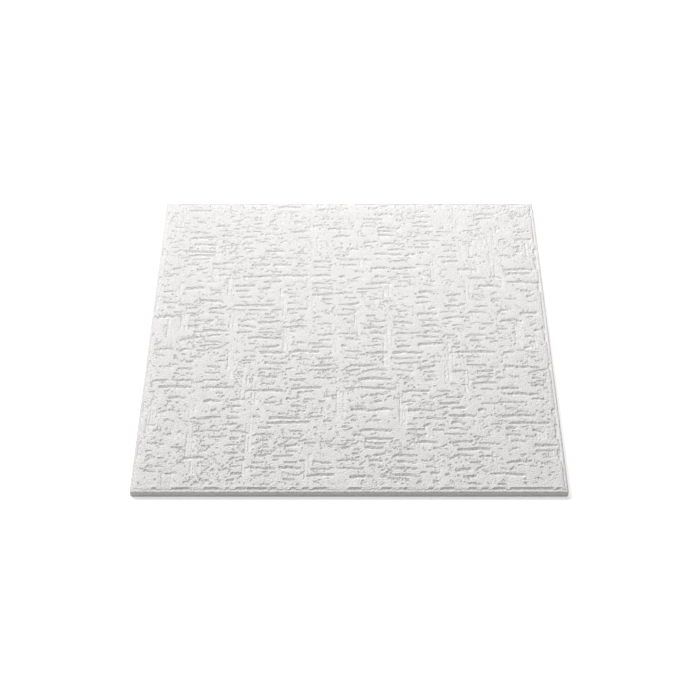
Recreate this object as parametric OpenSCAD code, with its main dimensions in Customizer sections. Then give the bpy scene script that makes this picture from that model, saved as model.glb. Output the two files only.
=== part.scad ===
// Square polystyrene ceiling tile, moulded in one piece with a rough plaster relief.
// Millimetres. The tile lies on its flat back with the relief up. X runs along the near
// edge, Y from the near edge to the far edge, Z up, and the origin is the middle of the back.

/* [Tile] */
// Side of the square tile
tile_side = 500; // [300:10:600]
// Thickness at the flat rim, under the relief
rim_thickness = 8.2; // [5:0.1:30]
// Radius of the four corners, seen from the face
corner_r = 4; // [1:0.5:8]
// Radius of the rounded top edge
edge_r = 0.8; // [0.2:0.1:1.6]

/* [Relief] */
// Width of the flat rim round the relief
rim_width = 5.5; // [3:0.5:15]
// Height of the plaster face above the rim
face_height = 1.8; // [1.3:0.1:2.4]
// Width of a sloping wall of the relief, seen from the face
wall_run = 1.4; // [0.4:0.1:1.6]
// Depth of the shallowest stroke
least_depth = 1.2; // [0.4:0.05:1.25]

/* [Strokes] */
// Rows of short strokes, from the near edge to the far edge
stroke_rows = 48; // [10:1:50]
// Places for a stroke in a row
stroke_columns = 15; // [6:1:16]
// Length of the shortest strokes
short_length = 8; // [5:0.5:10]
// Length from which a stroke has a keel, and isn't a mere nick
keel_length = 9; // [8:0.5:16]
// Length of the longest strokes in the rows
row_length = 31; // [15:1:40]
// Width of the short strokes
short_width = 4.6; // [3:0.1:6]
// Width of the long strokes
long_width = 5.4; // [4:0.1:7]
// Most that a long stroke wavers to either side of its line
waver = 0.8; // [0:0.1:1]
// Most that a calm stroke turns away from the rows, in degrees
calm_tilt = 6; // [0:1:15]
// Most that a short restless stroke turns, in degrees
wild_tilt = 42; // [20:1:60]
// Most that the ends of a restless stroke bend down to the near side
arch_drop = 3; // [0.5:0.1:4]
// Clear space kept between one stroke and the next
stroke_gap = 0.8; // [0.3:0.1:2]
// Which of the many equally good layouts is drawn
layout_seed = 14; // [1:1:100]

/* [Upright bands] */
// Width of an upright band between its two grooves
band_width = 3; // [2:0.5:6]
// Width of a groove beside a band
groove_width = 1.8; // [1:0.1:2.5]
// Depth of a groove beside a band
groove_depth = 0.8; // [0.2:0.05:1]

/* [Openings to the rim] */
// Openings of the relief onto the rim, on each side
notch_count = 10; // [4:1:12]
// Narrowest opening
notch_min = 6; // [4:0.5:8]
// Widest opening
notch_max = 24; // [10:1:26]
// How far an opening reaches into the relief
notch_reach = 6; // [3:0.5:8]

/* [Hidden] */

// Facets of a full circle at the corners
$fn = 24;
// How far a cut or a joined body runs past the surface that it has to cross
past = 0.5;

field = tile_side - 2 * rim_width;
face_z = rim_thickness + face_height;

// The long strokes are placed on a square with this side, and spread with the real one.
drawn_field = 489;
spread = field / drawn_field;

// Long strokes, chosen by hand: left end, right end, distance from the middle towards the
// far edge, and how much farther the right end lies than the left end.
LONG = [
    // Far left quarter
    [-214, -185, 229, 0],
    [-95, -64, 236, 0],
    [-209, -173, 174, 1],
    [-205, -173, 161, 0],
    [-214, -171, 149, -3],
    [-209, -173, 141, 0],
    [-28, 2, 192, 0],
    [-48, -26, 198, 2],
    [-23, 4, 176, 2],
    [-111, -82, 149, -1],
    [-127, -100, 123, 0],
    [-98, -73, 123, -1],
    [-136, -97, 101, 1],
    [-95, -52, 102, 0],
    [-50, -22, 102, 0],
    [-145, -120, 83, 1],
    [-207, -182, 79, 2],
    [-193, -158, 57, -2],
    [-145, -95, 48, 1],
    [-242, -218, 28, 0],
    [-193, -168, 22, -1],
    [-182, -148, 4, -2],
    // Far right quarter
    [34, 62, 221, 0],
    [165, 198, 221, 0],
    [83, 107, 205, 0],
    [165, 192, 210, 4],
    [38, 68, 194, 0],
    [37, 61, 187, 1],
    [38, 61, 179, 0],
    [215, 242, 171, 2],
    [19, 40, 165, 4],
    [42, 70, 164, -4],
    [32, 70, 143, -1],
    [71, 89, 140, 3],
    [139, 164, 114, 0],
    [27, 55, 116, 0],
    [56, 88, 116, 1],
    [89, 99, 110, -11],
    [200, 242, 114, 0],
    [201, 235, 106, 1],
    [26, 53, 88, 1],
    [202, 242, 90, 0],
    [166, 197, 83, -1],
    [121, 152, 26, 1],
    [187, 219, 20, 0],
    [213, 240, 33, 3],
    // Near left quarter
    [-127, -82, -9, 0],
    [-111, -76, -33, 0],
    [-74, -34, -32, -1],
    [-105, -71, -51, 0],
    [-229, -188, -91, 0],
    [-176, -136, -91, 0],
    [-125, -77, -97, 0],
    [-71, -31, -94, 3],
    [-218, -194, -108, -1],
    [-175, -152, -113, 0],
    [-95, -56, -139, -1],
    [-98, -46, -147, 0],
    [-191, -165, -201, 1],
    [-81, -55, -215, 0],
    [-49, -14, -226, 0],
    // Near right quarter
    [83, 118, -20, 1],
    [20, 49, -34, 0],
    [52, 92, -33, 0],
    [124, 180, -33, 0],
    [0, 35, -56, 1],
    [188, 234, -57, -1],
    [11, 52, -78, 0],
    [13, 55, -92, -2],
    [62, 98, -99, 2],
    [188, 227, -102, 0],
    [107, 134, -117, 1],
    [0, 53, -127, 0],
    [69, 102, -128, 0],
    [118, 152, -137, 0],
    [180, 221, -137, 1],
    [186, 236, -147, 0],
    [12, 51, -159, 0],
    [18, 52, -171, 0],
    [79, 105, -177, 0],
    [126, 166, -188, 0],
    [214, 242, -181, 0],
    [159, 203, -222, -3],
    [0, 27, -228, 1],
];

// Upright bands, chosen by hand: place across the tile, near end and far end.
BANDS = [
    [-228, 202, 247],
    [-171, 209, 241],
    [-120, 191, 247],
    [-108, 191, 247],
    [-61, 211, 247],
    [10, 161, 247],
    [77, 161, 247],
    [121, 205, 247],
    [137, 166, 247],
    [200, 179, 239],
    [-28, 136, 168],
    [96, 150, 182],
    [170, 120, 158],
    [186, 129, 168],
    [-148, 54, 95],
    [-70, 54, 96],
    [-212, 30, 98],
    [21, 39, 83],
    [77, 57, 107],
    [134, 75, 108],
    [199, 57, 78],
    [-41, 9, 62],
    [-131, -80, -16],
    [-184, -68, -16],
    [182, -50, -5],
    [58, -107, -70],
    [-10, -120, -61],
    [116, -96, -45],
    [-196, -214, -123],
    [-39, -205, -110],
    [60, -193, -140],
    [112, -208, -150],
    [171, -175, -142],
    [-157, -238, -170],
];

// How far a value between 0 and 1 reaches from low to high
function between(low, high, share) = low + (high - low) * share;

// Even random numbers for each cell of the rows, one for each thing that varies
LENGTH_ROLL = 0;
ACROSS_ROLL = 1;
ALONG_ROLL = 2;
DEPTH_ROLL = 3;
MOOD_ROLL = 4;
TILT_ROLL = 5;
LEAN_ROLL = 6;
ARCH_ROLL = 7;
ROLLS_EACH = 8;
rolls = rands(0, 1, stroke_rows * stroke_columns * ROLLS_EACH, layout_seed);
function roll(row, column, k) = rolls[(row * stroke_columns + column) * ROLLS_EACH + k];

// The face is calm in some patches and restless in others, a few rows and columns at a time.
PATCH_ROWS = 5;
PATCH_COLUMNS = 2;
patches_across = ceil(stroke_columns / PATCH_COLUMNS);
patches = rands(0, 1, patches_across * ceil(stroke_rows / PATCH_ROWS), layout_seed + 1);
function patch(row, column) =
    patches[floor(row / PATCH_ROWS) * patches_across + floor(column / PATCH_COLUMNS)];

// True where a stroke lies clear of every long stroke, from x0 to x1 and half_height each side of y
function clear_of_long(x0, x1, y, half_height) = len([
    for (s = LONG)
        if (abs(y - (s[2] + s[3] / 2) * spread) < half_height + (long_width + abs(s[3])) / 2 + waver
            && x0 < s[1] * spread
            && x1 > s[0] * spread)
            s
]) == 0;

// True where it crosses no upright band
function clear_of_bands(x0, x1, y, half_height) = len([
    for (b = BANDS)
        if (x0 < b[0] * spread + band_width / 2 + groove_width
            && x1 > b[0] * spread - band_width / 2 - groove_width
            && y + half_height > b[1] * spread
            && y - half_height < b[2] * spread)
            b
]) == 0;

// True where a stroke of this size has the face to itself
function has_room(x, y, half_length, half_height) =
    let (reach = field / 2 - notch_reach)
    abs(x) + half_length < reach
    && abs(y) + half_height < reach
    && clear_of_long(x - half_length, x + half_length, y, half_height)
    && clear_of_bands(x - half_length, x + half_length, y, half_height);

// A point of a cut's outline on the face, carried on past the face up the wall from its keel point
function lifted(outline, keel) = outline + (outline - keel) * past / -keel[2];

// A cut with a steep far wall, whose floor rises from a keel line to the near side. The line
// runs through evenly spaced stations, and bends says how far each of them lies off it. The
// near side is shorter than the far one, and the ends slope a little less than the wall.
NEAR_LEFT = 0.85;
NEAR_RIGHT = 0.75;
END_SLOPE = 1.2;
module keel_cut(length, width, depth, bends) {
    last = len(bends) - 1;
    middle = ceil(last / 2);
    half = length / 2;
    reach = half - wall_run * END_SLOPE;
    keel = [
        for (k = [0 : last])
            [between(-reach, reach, k / last), width / 2 + bends[k] - wall_run, -depth]
    ];
    far = [
        for (k = [0 : last])
            lifted([between(-half, half, k / last), width / 2 + bends[k], 0], keel[k])
    ];
    near_left = lifted([-half * NEAR_LEFT, -width / 2 + bends[0], 0], keel[0]);
    near_right = lifted([half * NEAR_RIGHT, -width / 2 + bends[last], 0], keel[last]);
    // Places in the list of points: the first keel point, and the two on the near side
    K = last + 1;
    L = 2 * K;
    R = L + 1;
    polyhedron(
        points = concat(far, keel, [near_left, near_right]),
        faces = concat(
            [concat([for (k = [0 : last]) k], [R, L])],
            [for (k = [0 : last - 1]) [k + 1, k, K + k]],
            [for (k = [0 : last - 1]) [k + 1, K + k, K + k + 1]],
            [for (k = [0 : last - 1]) [k < middle ? L : R, K + k + 1, K + k]],
            [[L, R, K + middle], [R, last, K + last], [0, L, K]]
        )
    );
}

// A small nick with three sides: a steep far wall and two that rise to the near side
module nick(length, width, depth, skew, run) {
    half = length / 2;
    far = width / 2;
    tip = half * (skew - 0.5);
    keel = [tip, far / 2 - run, -depth];
    polyhedron(
        points = [
            lifted([-half, far * skew, 0], keel),
            lifted([half, far * (1 - skew), 0], keel),
            lifted([tip, -far, 0], keel),
            keel,
        ],
        faces = [[0, 1, 2], [1, 0, 3], [2, 1, 3], [0, 2, 3]]
    );
}

// A long stroke has a station about this often, and both its ends drop to the near side.
STATION_PITCH = 15;
END_DROP = 0.16;
module long_strokes() {
    for (i = [0 : len(LONG) - 1]) {
        s = LONG[i];
        length = (s[1] - s[0]) * spread;
        last = max(2, round(length / STATION_PITCH));
        wobble = rands(-waver, waver, last + 1, layout_seed + i);
        bends = [
            for (k = [0 : last])
                k == 0 || k == last ? -long_width * END_DROP : wobble[k]
        ];
        translate([(s[0] + s[1]) / 2 * spread, (s[2] + s[3] / 2) * spread, face_z])
            rotate(atan(s[3] / (s[1] - s[0])))
                keel_cut(length, long_width, face_height, bends);
    }
}

// The strokes of the rows lie level in a calm patch, and turn or bend to an arch in a restless
// one. Most are short. Each keeps within a cell of its own, so that no two of them cross, and
// the cells of a column start a little farther on than those of the column beside it. A stroke
// that has no room for its whole length is left as a nick.
SHORTNESS = 1.4;
CALM_DROP = 0.5;
NICK_LEAN = 0.4;
row_pitch = field / stroke_rows;
column_pitch = field / stroke_columns;
column_starts = rands(-0.5, 0.5, stroke_columns, layout_seed + 2);
module row_strokes() {
    for (row = [0 : stroke_rows - 1], column = [0 : stroke_columns - 1]) {
        restless = roll(row, column, MOOD_ROLL) < patch(row, column);
        longest = min(row_length, column_pitch - stroke_gap);
        whole = between(short_length, longest, pow(roll(row, column, LENGTH_ROLL), SHORTNESS));
        keeled = whole > keel_length;
        arch = keeled ? (restless ? arch_drop : CALM_DROP) * roll(row, column, ARCH_ROLL) : 0;
        spare = max(0, row_pitch - stroke_gap - short_width - arch);
        most_tilt = min(restless ? wild_tilt : calm_tilt, asin(min(1, spare / whole)));
        tilt = between(-most_tilt, most_tilt, roll(row, column, TILT_ROLL));
        half_height = (short_width + arch + whole * sin(abs(tilt)) + stroke_gap) / 2;
        across = max(0, column_pitch - whole - stroke_gap) * (roll(row, column, ACROSS_ROLL) - 0.5);
        along = max(0, row_pitch - 2 * half_height) * (roll(row, column, ALONG_ROLL) - 0.5);
        x = (column + 0.5) * column_pitch - field / 2 + across;
        y = (row + 0.5 + column_starts[column]) * row_pitch - field / 2 + along;
        depth = between(least_depth, face_height, roll(row, column, DEPTH_ROLL));
        lean = roll(row, column, LEAN_ROLL) - 0.5;
        translate([x, y + arch / 2, face_z])
            rotate(tilt)
                if (keeled && has_room(x, y, whole / 2, half_height)) {
                    left = -arch * (0.5 + lean);
                    right = -arch * (0.5 - lean);
                    keel_cut(whole, short_width, depth, restless ? [left, 0, right] : [left, right]);
                } else if (has_room(x, y, short_length / 2, half_height)) {
                    nick(short_length, short_width, depth, 0.5 + lean * NICK_LEAN, wall_run / 2);
                }
    }
}

// Each upright band lies between two shallow grooves.
GROOVE_SKEW = 0.6;
module upright_bands() {
    for (b = BANDS, side = [-1, 1])
        translate([
            b[0] * spread + side * (band_width + groove_width) / 2,
            (b[1] + b[2]) / 2 * spread,
            face_z
        ])
            rotate(side * 90)
                nick((b[2] - b[1]) * spread, groove_width, groove_depth, GROOVE_SKEW, groove_width / 4);
}

// An opening of the relief onto the rim: it cuts through the edge of the face, and its floor is
// a ramp from the rim up to the face, narrower at the top.
NOTCH_FOOT = 0.4;
NOTCH_LEFT_REACH = 0.8;
NOTCH_TAPER = 0.25;
module notch(width) {
    half = width / 2;
    taper = notch_reach * NOTCH_TAPER;
    hull() {
        linear_extrude(past)
            polygon([
                [-half - wall_run, -notch_reach],
                [half + wall_run, -notch_reach],
                [half - taper, notch_reach],
                [-half + taper, notch_reach * NOTCH_LEFT_REACH],
            ]);
        translate([0, 0, -face_height])
            linear_extrude(face_height)
                polygon([
                    [-half, -notch_reach],
                    [half, -notch_reach],
                    [half, NOTCH_FOOT],
                    [-half, NOTCH_FOOT],
                ]);
    }
}

module notches() {
    for (side = [0 : 3]) {
        places = rands(0, 1, notch_count, layout_seed + side);
        widths = rands(notch_min, notch_max, notch_count, layout_seed - side);
        for (i = [0 : notch_count - 1])
            rotate(side * 90)
                translate([((i + places[i]) / notch_count - 0.5) * (field - notch_max), -field / 2, face_z])
                    notch(widths[i]);
    }
}

module rounded_square(side, r) {
    offset(r)
        square(side - 2 * r, center = true);
}

// The plain slab under the relief, with round corners and a round top edge
module slab() {
    EDGE_STEP = 30;
    hull()
        for (a = [0 : EDGE_STEP : 90])
            linear_extrude(rim_thickness - edge_r * (1 - sin(a)))
                rounded_square(tile_side - 2 * edge_r * (1 - cos(a)), corner_r - edge_r * (1 - cos(a)));
}

// The raised face, before anything is sunk into it
module face() {
    hull() {
        translate([0, 0, rim_thickness - past])
            linear_extrude(past)
                square(field, center = true);
        linear_extrude(face_z)
            square(field - 2 * wall_run, center = true);
    }
}

module tile() {
    color([0.93, 0.93, 0.92]) {
        slab();
        difference() {
            face();
            long_strokes();
            row_strokes();
            upright_bands();
            notches();
        }
    }
}

tile();
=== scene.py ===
"""A moulded polystyrene ceiling tile with a plaster relief, lying on a white floor.

Everything is in metres, in the row frame: X along the near edge, Y to the far edge, Z up
from the middle of the flat back.
"""

import math

import bmesh
import bpy
import numpy as np
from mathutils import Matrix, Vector
from mathutils.bvhtree import BVHTree


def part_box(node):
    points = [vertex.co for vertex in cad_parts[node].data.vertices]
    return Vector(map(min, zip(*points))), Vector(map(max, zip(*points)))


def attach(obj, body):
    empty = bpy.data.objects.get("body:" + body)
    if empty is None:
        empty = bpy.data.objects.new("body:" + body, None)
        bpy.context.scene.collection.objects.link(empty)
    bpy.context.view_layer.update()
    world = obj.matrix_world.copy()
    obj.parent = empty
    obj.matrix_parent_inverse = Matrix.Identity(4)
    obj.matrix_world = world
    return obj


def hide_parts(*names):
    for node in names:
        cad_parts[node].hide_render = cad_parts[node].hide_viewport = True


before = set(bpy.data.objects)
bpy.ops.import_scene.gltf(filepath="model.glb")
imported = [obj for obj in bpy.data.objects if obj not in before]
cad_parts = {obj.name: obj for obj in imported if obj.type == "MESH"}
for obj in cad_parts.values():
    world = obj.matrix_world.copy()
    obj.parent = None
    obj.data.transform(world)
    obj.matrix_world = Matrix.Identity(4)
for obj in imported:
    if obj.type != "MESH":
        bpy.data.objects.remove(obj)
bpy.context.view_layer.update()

MM = 0.001
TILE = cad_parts["tile"]
LOW, HIGH = (np.array(corner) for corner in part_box("tile"))
HALF = float(HIGH[0])
TOP = float(HIGH[2])


# Sizes that the solid has

RIM_WIDTH = 5.5 * MM
FACE_HEIGHT = 1.8 * MM


# Sizes that the photograph shows

# The rim is narrower than the solid's, so the relief is spread a little to reach it.
SEEN_RIM = 3.3 * MM
SPREAD = (HALF - RIM_WIDTH) / (HALF - SEEN_RIM)
CORNER_R = 2.5 * MM
EDGE_R = 1.5 * MM
BACK_EDGE_R = 0.15 * MM
# The boldest strokes go a little below the level of the rim.
DEEPEST = 2.4 * MM
# What is cut deeper than this counts as a stroke.
CUT = 0.4 * MM
# Each cut has a sloping far wall, which the camera sees, and a near wall too steep to be seen.
FAR_SLOPE = 0.9
NEAR_SLOPE = 9.0
# How many upright strips, broken lines and stacks of strokes are placed
STRIPS = 60
LINES = 60
STACKS = 170


# The relief is worked out on a square grid over the top, and then thinned out where it is flat.

GRID_STEP = 0.8 * MM
SIDE_RINGS = 6
TRIANGLES = 198_000
# Edges that turn by more degrees than this stay sharp.
SHARP_FROM = 25
SEED = 5


# The camera, fitted to the four corners of the tile in the photograph

CAMERA_PLACE = (0.001, -1.2978, 1.3479)
CAMERA_TILT = 43.483
LENS = 76.6


def make_camera():
    data = bpy.data.cameras.new("camera")
    data.lens = LENS
    camera = bpy.data.objects.new("camera", data)
    camera.location = CAMERA_PLACE
    camera.rotation_euler = (math.radians(CAMERA_TILT), 0, 0)
    bpy.context.collection.objects.link(camera)
    bpy.context.scene.camera = camera


# The grid


def grid_axis():
    reach = HALF - EDGE_R
    return np.linspace(-reach, reach, int(round(2 * reach / GRID_STEP)) + 1)


AXIS = grid_axis()
STEP = AXIS[1] - AXIS[0]
GX, GY = np.meshgrid(AXIS, AXIS)


def window_of(x, y, reach_x, reach_y):
    """The grid's rows and columns within these distances of a point."""
    rows = slice(*np.searchsorted(AXIS, (y - reach_y, y + reach_y)))
    columns = slice(*np.searchsorted(AXIS, (x - reach_x, x + reach_x)))
    return rows, columns


def noise(seed, wave_x, wave_y):
    """Smooth noise on the grid with a spread of 1, and waves about this long."""
    white = np.random.default_rng(SEED * 100 + seed).standard_normal(GX.shape)
    fx = np.fft.rfftfreq(GX.shape[1], STEP)
    fy = np.fft.fftfreq(GX.shape[0], STEP)[:, None]
    keep = np.exp(-2 * math.pi**2 * ((wave_x / 4 * fx) ** 2 + (wave_y / 4 * fy) ** 2))
    out = np.fft.irfft2(np.fft.rfft2(white) * keep, s=GX.shape)
    return (out - out.mean()) / out.std()


def blur(z, radius_x, radius_y):
    """z smoothed over about these radii, with its edges mirrored."""
    for axis, radius in ((0, radius_y), (1, radius_x)):
        reach = max(1, int(math.ceil(3 * radius / STEP)))
        taps = np.exp(-0.5 * (np.arange(-reach, reach + 1) * STEP / radius) ** 2)
        taps /= taps.sum()
        wide = np.pad(z, [(reach, reach) if a == axis else (0, 0) for a in (0, 1)], mode="reflect")
        z = sum(t * np.take(wide, np.arange(k, k + z.shape[axis]), axis=axis) for k, t in enumerate(taps))
    return z


def widened(depth, cells_x, cells_y):
    """Each point takes the greatest depth within this many cells of it."""
    for axis, cells in ((0, cells_y), (1, cells_x)):
        depth = np.maximum.reduce([np.roll(depth, k, axis) for k in range(-cells, cells + 1)])
    return depth


def inside_field(margin):
    """1 well inside the relief, falling to 0 over the margin at its border with the rim."""
    edge = HALF - SEEN_RIM - np.maximum(np.abs(GX), np.abs(GY))
    return np.clip(edge / margin, 0, 1)


def clear_of(cut):
    """Where nothing is cut within about a stroke's width."""
    return 3 * blur(cut.astype(float), 1.2 * MM, 1.6 * MM) < 0.5


# The forms that are cut into the face, as depths over the grid


def solid_heights(x, y):
    """Height of the solid's top at each point, read from the CAD node itself."""
    surface = BVHTree.FromPolygons(
        [v.co.copy() for v in TILE.data.vertices],
        [tuple(p.vertices) for p in TILE.data.polygons],
    )
    down = Vector((0, 0, -1))
    start = TOP + 10 * MM
    flat = np.empty(x.size)
    for i, (px, py) in enumerate(zip(x.ravel(), y.ravel())):
        hit = surface.ray_cast((px, py, start), down)[0]
        flat[i] = hit.z if hit else TOP - FACE_HEIGHT
    return flat.reshape(x.shape)


def slope_sides(depth):
    """Gives each cut its sloping far wall and its steep near wall."""
    for i in range(1, len(depth)):
        depth[i] = np.maximum(depth[i], depth[i - 1] - FAR_SLOPE * STEP)
    for i in range(len(depth) - 2, -1, -1):
        depth[i] = np.maximum(depth[i], depth[i + 1] - NEAR_SLOPE * STEP)
    return depth


def crisp(depth, deepest):
    """Flat-bottomed cuts from soft ones: four times as steep from 0.55 mm down, and then level."""
    return np.clip(4 * (depth - 0.55 * MM), 0, deepest)


def press(depth, x, y, length, width, deep, tilt, bow, wall):
    """Presses one stroke into the depth map: a steep far wall, and a floor that rises to the near side.

    Its ends curve down to the near side by the bow.
    """
    c, s = math.cos(tilt), math.sin(tilt)
    reach = length / 2 + width + abs(bow)
    part = window_of(x, y, reach, reach)
    if min(depth[part].shape) < 2:
        return
    dx = GX[part] - x
    dy = GY[part] - y
    along = dx * c + dy * s
    across = dy * c - dx * s + bow * (2 * along / length) ** 2
    far_wall = np.clip((width / 2 - across) / wall, 0, 1)
    floor = np.clip((across + width / 2) / (width - wall), 0, 1)
    ends = np.clip((length / 2 - np.abs(along)) / (0.9 * MM), 0, 1)
    depth[part] = np.maximum(depth[part], deep * far_wall * floor * ends)


def solid_strokes():
    """How deep the solid lies below its top, and its strokes with ragged borders."""
    # The borders wander a little, but not where they meet the rim.
    window = inside_field(4 * MM)
    warp_x = window * (0.8 * MM * noise(1, 14 * MM, 14 * MM) + 0.4 * MM * noise(2, 4 * MM, 4 * MM))
    warp_y = window * (0.5 * MM * noise(3, 22 * MM, 14 * MM) + 0.3 * MM * noise(4, 4 * MM, 5 * MM))
    solid = np.clip(TOP - solid_heights((GX + warp_x) * SPREAD, (GY + warp_y) * SPREAD), 0, None)
    ragged = solid + 0.1 * MM * noise(6, 3 * MM, 3 * MM)
    bold = (1.3 + 0.15 * noise(5, 16 * MM, 7 * MM)) * widened(solid, 3, 2)
    strokes = crisp(ragged, np.clip(bold, 0, DEEPEST))

    # Ragged pockets open the relief to the far rim.
    pocket_reach = (5.5 + noise(13, 20 * MM, 40 * MM)) * MM
    pocket = (noise(12, 13 * MM, 60 * MM) > 0.45) & (HALF - SEEN_RIM - GY < pocket_reach)
    strokes = np.maximum(strokes, FACE_HEIGHT * (pocket & (np.abs(GX) < HALF - 12 * MM)))
    inside = inside_field(1.6 * MM)
    sloped = inside * slope_sides(strokes * (inside == 1))
    return solid, np.maximum((inside > 0) * strokes, sloped)


def upright_strips(taken):
    """Smooth upright strips between the strokes, and the thin grooves along their sides and middle."""
    rng = np.random.default_rng(SEED)
    strip = np.zeros_like(GX)
    grooves = np.zeros_like(GX)
    reach = HALF - 12 * MM
    wall = 0.8 * MM
    placed = 0
    while placed < STRIPS:
        x, y = rng.uniform(-reach, reach, 2)
        length = rng.uniform(20, 80) * MM
        width = rng.uniform(3.5, 8) * MM
        part = window_of(x, y, width / 2, length / 2)
        if taken[part].mean() > rng.uniform(0.04, 0.16) or strip[part].mean() > 0.1:
            continue
        placed += 1
        upright = math.radians(90) + math.radians(rng.normal(0, 1.2))
        press(strip, x, y, length, width + 2 * MM, 1.0, upright, 0.0, wall)
        for side in (-1, 0, 1) if width > 6 * MM else (-1, 1):
            groove_y = y + rng.normal(0, 4) * MM
            groove_length = length * rng.uniform(0.4, 0.95)
            deep = rng.uniform(0.65, 1.25) * MM
            press(grooves, x + side * width / 2, groove_y, groove_length, 5 * MM, deep, upright, 0.0, wall)
    return strip, grooves * np.clip(0.9 + 0.3 * noise(15, 20 * MM, 8 * MM), 0.2, 1.3)


def more_strokes(taken):
    """Straight strokes where nothing is taken yet: broken lines, and stacks with one end in line."""
    rng = np.random.default_rng(SEED + 1)
    strokes = np.zeros_like(GX)
    taken = taken.copy()
    reach = HALF - 20 * MM

    def stroke(x, y, length):
        part = window_of(x, y + 0.4 * MM, length / 2 + MM, 3 * MM)
        if strokes[part].size and not taken[part].any():
            tilt = math.radians(rng.normal(0, 1.5))
            bow = rng.normal(0, 0.4) * MM
            press(strokes, x, y, length, 2.2 * MM, FACE_HEIGHT, tilt, bow, 1.1 * MM)
            taken[part] = 1

    for _ in range(LINES):
        x, y = rng.uniform(-reach, reach, 2)
        for _ in range(rng.integers(3, 8)):
            length = rng.uniform(7, 26) * MM
            stroke(x + length / 2, y, length)
            x += length + rng.uniform(2, 4) * MM
            y += rng.normal(0, 0.9) * MM
    for _ in range(STACKS):
        x, y = rng.uniform(-reach, reach, 2)
        side = rng.choice((-1, 1))
        for _ in range(rng.integers(2, 7)):
            length = rng.uniform(6, 30) * MM
            stroke(x + side * length / 2, y, length)
            y -= rng.uniform(5.5, 9) * MM
    return strokes


def hollows(seed, wave_x, wave_y, level, deep):
    """Lines along the far borders of the patches where the noise is above the level.

    A line is deepest where the border runs across the tile, and runs out where it turns to the side.
    """
    blobs = noise(seed, wave_x, wave_y) + 0.4 * noise(seed + 1, 0.4 * wave_x, 0.5 * wave_y)
    blobs += 0.06 * noise(seed + 2, 2.5 * MM, 2.5 * MM)
    rise_y, rise_x = np.gradient(blobs)
    across = np.clip(-3 * rise_y / np.hypot(rise_x, rise_y) - 0.5, 0, 1)
    inside = blobs > level
    border = inside[:-1] & ~inside[1:]
    depth = np.zeros_like(GX)
    depth[:-1][border] = (deep * across)[:-1][border]
    return depth


def small_marks():
    """Hollows of three sizes, crowded in some places and few in others."""
    crowd = 0.35 * noise(7, 60 * MM, 60 * MM) + 0.3 * noise(9, 25 * MM, 25 * MM)
    calm = 0.3 * noise(11, 50 * MM, 32 * MM)
    fewer_far = 0.12 + 0.12 * GY / HALF
    deep = np.clip(1.95 + 0.3 * noise(10, 10 * MM, 7 * MM), 1.3, 2.4) * MM
    return np.maximum.reduce([
        hollows(20, 16 * MM, 8 * MM, 1.5 + crowd + calm + fewer_far, deep),
        hollows(30, 8 * MM, 6 * MM, 1.65 - crowd + calm + fewer_far, deep),
        hollows(40, 5 * MM, 5 * MM, 2.05 - crowd + calm + fewer_far, 0.9 * deep),
    ])


def between_strokes(strokes):
    """Grooves, more strokes and small marks, clear of the solid's own strokes and of one another."""
    cut = strokes > CUT
    # Nothing is added in a strip, near the rim, or where the solid's strokes already stand close together.
    strip, grooves = upright_strips(cut)
    crowded = np.clip(4 * blur(cut.astype(float), 2.2 * MM, 9 * MM) - 1.4, 0, 1) > 0.5
    free = clear_of(cut) & (inside_field(5 * MM) == 1) & (strip < 0.2)
    more = slope_sides(crisp(more_strokes(~free | crowded), 2 * MM))
    clear = free & ~crowded & clear_of(more > CUT)
    marks = slope_sides(small_marks() * clear)
    return np.maximum.reduce([marks, more, grooves * ~cut])


def near_rim(depth, strokes):
    """Moves the solid's first row of strokes onto the near rim. The face falls between its dashes."""
    past_rim = HALF - SEEN_RIM - np.abs(GY)
    # The grid's row that runs through the middle of the solid's first strokes
    first = np.searchsorted(AXIS, -(HALF - SEEN_RIM - 2.4 * MM))
    dash = (strokes[first] > MM) | (noise(14, 14 * MM, 400 * MM)[0] > 0.15)
    dash = np.broadcast_to(dash & (np.abs(AXIS) < HALF - 8 * MM), GX.shape)
    between = 1 - blur(dash.astype(float), 1.5 * MM, MM)
    step = np.clip(DEEPEST - 1.2 * np.clip(past_rim - 0.9 * MM, 0, None), 0, None)
    reach = 16 * MM
    fall = 1.45 * MM * np.clip(1 - past_rim / reach, 0, 1) ** 2
    behind = depth * (past_rim > 5 * MM) + fall * between
    return np.where((GY < 0) & (past_rim < reach), np.maximum(behind, step * dash), depth)


def relief():
    """Heights of the top over the grid."""
    solid, strokes = solid_strokes()
    # The cuts read deeper towards the near side of the photograph.
    depth = np.maximum(strokes, between_strokes(strokes)) * (0.96 - 0.19 * GY / HALF)
    # The face falls a little to the rim, least at the near side.
    fall = np.clip(5 + 5 * GY / HALF, 0.3, 1) * MM
    depth = depth + fall * (1 - inside_field(26 * MM)) ** 2
    depth = near_rim(depth, strokes)
    in_field = inside_field(MM) > 0
    depth = blur(np.where(in_field, np.clip(depth, 0, DEEPEST), solid), 0.4 * MM, 0.25 * MM)
    return np.clip(TOP - depth, 0, TOP)


# The mesh


def corner_round(x, y):
    """Moves grid points near a corner of the square onto the round corner."""
    centre = HALF - CORNER_R
    px = np.clip(np.abs(x) - centre, 0, None)
    py = np.clip(np.abs(y) - centre, 0, None)
    both = (px > 0) & (py > 0)
    far = np.hypot(px, py)
    pull = np.where(both, np.maximum(px, py) / np.where(far > 0, far, 1), 1)
    rx = np.where(both, np.sign(x) * (centre + px * pull), x)
    ry = np.where(both, np.sign(y) * (centre + py * pull), y)
    return rx, ry


def border_order(n):
    """Indices of the grid's border, once round, anticlockwise from above."""
    first = np.arange(n - 1)
    return np.concatenate([
        first,
        first * n + n - 1,
        n * n - 1 - first,
        (n - 1 - first) * n,
    ])


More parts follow.
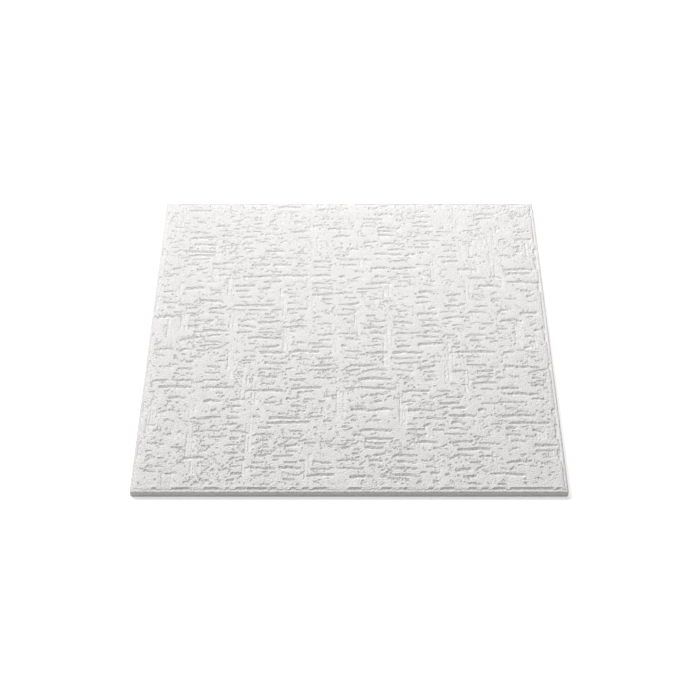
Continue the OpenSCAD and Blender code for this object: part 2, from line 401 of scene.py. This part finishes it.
def border_outward(x, y):
    """Unit vectors that point out of the rounded square at its border points."""
    centre = HALF - CORNER_R
    px = np.sign(x) * np.clip(np.abs(x) - centre, 0, None)
    py = np.sign(y) * np.clip(np.abs(y) - centre, 0, None)
    far = np.hypot(px, py)
    return px / far, py / far


def edge_profile():
    """(out, height) of each ring from the flat rim over the top edge, down the side and under it."""
    rings = []
    rim = TOP - FACE_HEIGHT
    for a in (22.5, 45, 67.5, 90):
        a = math.radians(a)
        rings.append((EDGE_R * math.sin(a), rim - EDGE_R * (1 - math.cos(a))))
    for h in np.linspace(rim - EDGE_R, BACK_EDGE_R, SIDE_RINGS + 1)[1:]:
        rings.append((EDGE_R, float(h)))
    rings.append((EDGE_R - BACK_EDGE_R * 0.3, BACK_EDGE_R * 0.3))
    rings.append((EDGE_R - BACK_EDGE_R, 0.0))
    return rings


def mesh_of(points, quads, triangles):
    mesh = bpy.data.meshes.new("moulded_tile")
    mesh.vertices.add(len(points))
    mesh.vertices.foreach_set("co", points.ravel())
    corners = np.concatenate([quads.ravel(), triangles.ravel()])
    mesh.loops.add(len(corners))
    mesh.loops.foreach_set("vertex_index", corners)
    starts = np.concatenate([np.arange(len(quads)) * 4, len(quads) * 4 + np.arange(len(triangles)) * 3])
    mesh.polygons.add(len(starts))
    mesh.polygons.foreach_set("loop_start", starts)
    mesh.update(calc_edges=True)
    mesh.validate()
    return mesh


def tile_mesh():
    """The top as a grid, the sides as rings below its border, and the back as a fan."""
    n = len(AXIS)
    x, y = corner_round(GX, GY)
    top = np.stack([x, y, relief()], axis=-1).reshape(-1, 3)
    border = border_order(n)
    m = len(border)
    bx, by = top[border, 0], top[border, 1]
    ox, oy = border_outward(bx, by)
    rings = [np.stack([bx + ox * out, by + oy * out, np.full(m, h)], axis=-1) for out, h in edge_profile()]
    points = np.concatenate([top] + rings + [np.zeros((1, 3))])

    k = np.arange((n - 1) * (n - 1))
    a = k // (n - 1) * n + k % (n - 1)
    quads = [np.stack([a, a + 1, a + n + 1, a + n], axis=-1)]
    loop = border
    for i in range(len(rings)):
        below = n * n + i * m + np.arange(m)
        quads.append(np.stack([loop, below, np.roll(below, -1), np.roll(loop, -1)], axis=-1))
        loop = below
    back = np.stack([loop, np.full(m, len(points) - 1), np.roll(loop, -1)], axis=-1)
    return mesh_of(points, np.concatenate(quads), back)


def unfold(mesh):
    """Smooths the few points above the back where thinning has folded the surface over."""
    work = bmesh.new()
    work.from_mesh(mesh)
    for _ in range(20):
        work.normal_update()
        folded = [f for f in work.faces if f.normal.z < -0.02 and f.calc_center_median().z > 2 * MM]
        points = sorted({v for f in folded for v in f.verts}, key=lambda v: v.index)
        if not points:
            break
        bmesh.ops.smooth_vert(
            work, verts=points, factor=0.5, use_axis_x=True, use_axis_y=True, use_axis_z=True
        )
    work.to_mesh(mesh)
    work.free()


def shade(mesh):
    """Smooth between sharp edges, and flat on the back, whose small rounding would tilt its normals."""
    normals = np.empty(len(mesh.polygons) * 3)
    mesh.polygons.foreach_get("normal", normals)
    mesh.polygons.foreach_set("use_smooth", normals[2::3] > -0.99)
    mesh.set_sharp_from_angle(angle=math.radians(SHARP_FROM))
    mesh.update()


def thin_out(mesh):
    """A piece of the same shape with fewer triangles where it is flat."""
    piece = bpy.data.objects.new("moulded_tile", mesh)
    bpy.context.collection.objects.link(piece)
    count = sum(len(p.vertices) - 2 for p in mesh.polygons)
    thin = piece.modifiers.new("thin", "DECIMATE")
    thin.ratio = TRIANGLES / count
    settled = piece.evaluated_get(bpy.context.evaluated_depsgraph_get())
    thinned = bpy.data.meshes.new_from_object(settled)
    piece.modifiers.clear()
    piece.data = thinned
    thinned.name = "moulded_tile"
    co = np.empty(len(thinned.vertices) * 3)
    thinned.vertices.foreach_get("co", co)
    co = np.clip(co.reshape(-1, 3), LOW, HIGH)
    # The back stays flat up to its small rounding, also where thinning has moved a corner point.
    co[co[:, 2] < 0.1 * MM, 2] = 0
    thinned.vertices.foreach_set("co", co.ravel())
    unfold(thinned)
    shade(thinned)
    return piece


# Materials

BEAD = 2.6 * MM
GRAIN = 1.7 * MM


def map_range(nodes, **ends):
    """A Map Range node with these ends, such as From_Min."""
    node = nodes.new("ShaderNodeMapRange")
    for name, value in ends.items():
        node.inputs[name.replace("_", " ")].default_value = value
    return node


def bump(nodes, strength, distance):
    node = nodes.new("ShaderNodeBump")
    node.inputs["Strength"].default_value = strength
    node.inputs["Distance"].default_value = distance
    return node


def foam():
    """White expanded polystyrene: fused beads a few millimetres wide, with a fine grain over them."""
    mat = bpy.data.materials.new("foam")
    mat.use_nodes = True
    nodes, links = mat.node_tree.nodes, mat.node_tree.links
    shader = nodes["Principled BSDF"]
    place = nodes.new("ShaderNodeTexCoord").outputs["Object"]

    beads = nodes.new("ShaderNodeTexVoronoi")
    beads.feature = "DISTANCE_TO_EDGE"
    beads.inputs["Scale"].default_value = 1 / BEAD
    links.new(place, beads.inputs["Vector"])
    seams = map_range(nodes, From_Max=0.16)
    links.new(beads.outputs["Distance"], seams.inputs["Value"])

    grain = nodes.new("ShaderNodeTexNoise")
    grain.inputs["Scale"].default_value = 1 / GRAIN
    grain.inputs["Detail"].default_value = 0.5
    links.new(place, grain.inputs["Vector"])

    # The grain's low spots, the pits of its bump, take the darker colour: painted shade in the pits.
    grain_shade = map_range(nodes, From_Min=0.3, From_Max=0.7)
    links.new(grain.outputs["Fac"], grain_shade.inputs["Value"])
    grain_shaded_colour = nodes.new("ShaderNodeMix")
    grain_shaded_colour.data_type = "RGBA"
    grain_shaded_colour.inputs["A"].default_value = (0.79, 0.778, 0.777, 1)
    grain_shaded_colour.inputs["B"].default_value = (0.94, 0.928, 0.927, 1)
    links.new(grain_shade.outputs["Result"], grain_shaded_colour.inputs["Factor"])
    links.new(grain_shaded_colour.outputs["Result"], shader.inputs["Base Color"])

    seam_bump = bump(nodes, 0.6, 0.2 * MM)
    links.new(seams.outputs["Result"], seam_bump.inputs["Height"])
    grain_bump = bump(nodes, 1.0, 1.1 * MM)
    links.new(grain.outputs["Fac"], grain_bump.inputs["Height"])
    links.new(seam_bump.outputs["Normal"], grain_bump.inputs["Normal"])
    links.new(grain_bump.outputs["Normal"], shader.inputs["Normal"])

    dull = map_range(nodes, To_Min=0.6, To_Max=0.8)
    links.new(grain.outputs["Fac"], dull.inputs["Value"])
    links.new(dull.outputs["Result"], shader.inputs["Roughness"])
    shader.inputs["Specular IOR Level"].default_value = 0.3
    return mat


def either_ray(nodes, links, kind, other):
    """1 for rays of these two kinds, such as Is Camera Ray, and 0 for all others."""
    path = nodes.new("ShaderNodeLightPath")
    seen = nodes.new("ShaderNodeMath")
    seen.operation = "MAXIMUM"
    links.new(path.outputs[kind], seen.inputs[0])
    links.new(path.outputs[other], seen.inputs[1])
    return seen.outputs["Value"]


def white_floor():
    """A white floor that shows pure white to the camera where nothing shades it."""
    mat = bpy.data.materials.new("floor")
    mat.use_nodes = True
    nodes, links = mat.node_tree.nodes, mat.node_tree.links
    nodes.clear()
    out = nodes.new("ShaderNodeOutputMaterial")
    matt = nodes.new("ShaderNodeBsdfDiffuse")
    matt.inputs["Color"].default_value = (0.92, 0.92, 0.92, 1)
    glow = nodes.new("ShaderNodeEmission")
    glow.inputs["Strength"].default_value = 0.48
    unseen = nodes.new("ShaderNodeBsdfTransparent")
    unseen.inputs["Color"].default_value = (0, 0, 0, 1)
    pick = nodes.new("ShaderNodeMixShader")
    links.new(either_ray(nodes, links, "Is Camera Ray", "Is Glossy Ray"), pick.inputs["Fac"])
    links.new(unseen.outputs["BSDF"], pick.inputs[1])
    links.new(glow.outputs["Emission"], pick.inputs[2])
    both = nodes.new("ShaderNodeAddShader")
    links.new(matt.outputs["BSDF"], both.inputs[0])
    links.new(pick.outputs["Shader"], both.inputs[1])
    links.new(both.outputs["Shader"], out.inputs["Surface"])
    return mat


# The setting

FLOOR_REACH = 6.0


def make_floor():
    mesh = bpy.data.meshes.new("floor")
    corners = [(x * FLOOR_REACH, y * FLOOR_REACH, 0) for x, y in ((-1, -1), (1, -1), (1, 1), (-1, 1))]
    mesh.from_pydata(corners, [], [(0, 1, 2, 3)])
    floor = bpy.data.objects.new("floor", mesh)
    bpy.context.collection.objects.link(floor)
    mesh.materials.append(white_floor())


def area_lamp(name, place, aim, side, power):
    """A square lamp that shines from its place towards the aim."""
    data = bpy.data.lights.new(name, "AREA")
    data.size = side
    data.energy = power
    lamp = bpy.data.objects.new(name, data)
    lamp.location = place
    lamp.rotation_euler = (Vector(aim) - Vector(place)).to_track_quat("-Z", "Y").to_euler()
    bpy.context.collection.objects.link(lamp)


def make_world():
    """White to the camera, and a dim even fill for the object."""
    world = bpy.data.worlds.new("studio")
    world.use_nodes = True
    bpy.context.scene.world = world
    nodes, links = world.node_tree.nodes, world.node_tree.links
    fill = nodes["Background"]
    fill.inputs["Color"].default_value = (1, 0.98, 0.965, 1)
    fill.inputs["Strength"].default_value = 0.21
    white = nodes.new("ShaderNodeBackground")
    white.inputs["Color"].default_value = (1, 1, 1, 1)
    white.inputs["Strength"].default_value = 1.0
    pick = nodes.new("ShaderNodeMixShader")
    links.new(either_ray(nodes, links, "Is Camera Ray", "Is Transmission Ray"), pick.inputs["Fac"])
    links.new(fill.outputs["Background"], pick.inputs[1])
    links.new(white.outputs["Background"], pick.inputs[2])
    links.new(pick.outputs["Shader"], nodes["World Output"].inputs["Surface"])


make_camera()
make_world()
make_floor()
area_lamp("key", (-2.15, 2.05, 3.15), (0, 0, 0), 1.6, 142)
area_lamp("back", (0.15, 0.55, 0.95), (0, 0.1, 0), 0.45, 3.8)

tile = thin_out(tile_mesh())
tile.data.materials.append(foam())
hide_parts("tile")
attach(tile, "root")

bpy.context.scene.view_settings.view_transform = "Standard"
